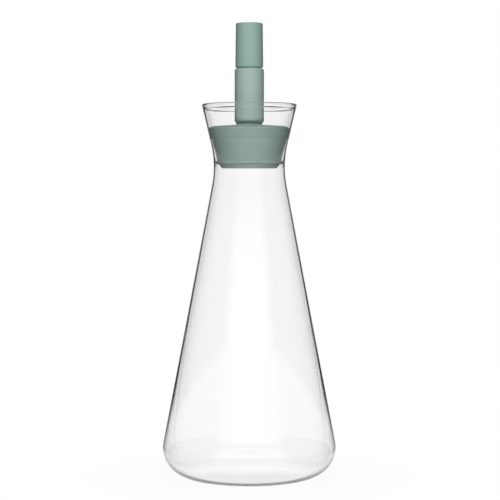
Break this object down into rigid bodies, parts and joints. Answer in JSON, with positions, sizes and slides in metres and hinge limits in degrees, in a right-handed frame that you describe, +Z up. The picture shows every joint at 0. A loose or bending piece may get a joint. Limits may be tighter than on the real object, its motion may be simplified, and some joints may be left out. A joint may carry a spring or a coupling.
{
  "type": "oil dispenser",
  "caption": "Conical clear glass flask with a waisted neck, closed by a green pouring stopper with an upright spout and a pull-off cap; it stores and pours oil.",
  "frame": {"origin": "centre of the flask's foot, on the surface it stands on", "axes": "+Z up along the flask's axis; the seen side faces -Y"},
  "size_m": [0.09, 0.09, 0.2348],
  "materials": {
    "clear_glass": "clear, fire-polished",
    "green_plastic": "fine satin sage green",
    "green_silicone": "matte sage green silicone",
    "pale_plastic": "translucent, smooth"
  },
  "bodies": {
    "flask": {"glass_flask": "clear_glass"},
    "stopper": {"stopper_body": "green_plastic", "lip_seal": "green_silicone", "stopper_base": "green_plastic", "spout_tube": "green_plastic", "spout_o_ring": "green_silicone", "pour_nozzle": "green_plastic", "air_tube": "pale_plastic"},
    "cap": {"spout_cap": "green_plastic", "cap_plug": "green_silicone"}
  },
  "joints": [
    {"name": "stopper_lift", "type": "slide", "parent": "flask", "child": "stopper", "axis": [0, 0, 1], "range_m": [0, 0.05]},
    {"name": "cap_lift", "type": "slide", "parent": "stopper", "child": "cap", "axis": [0, 0, 1], "range_m": [0, 0.03]}
  ]
}
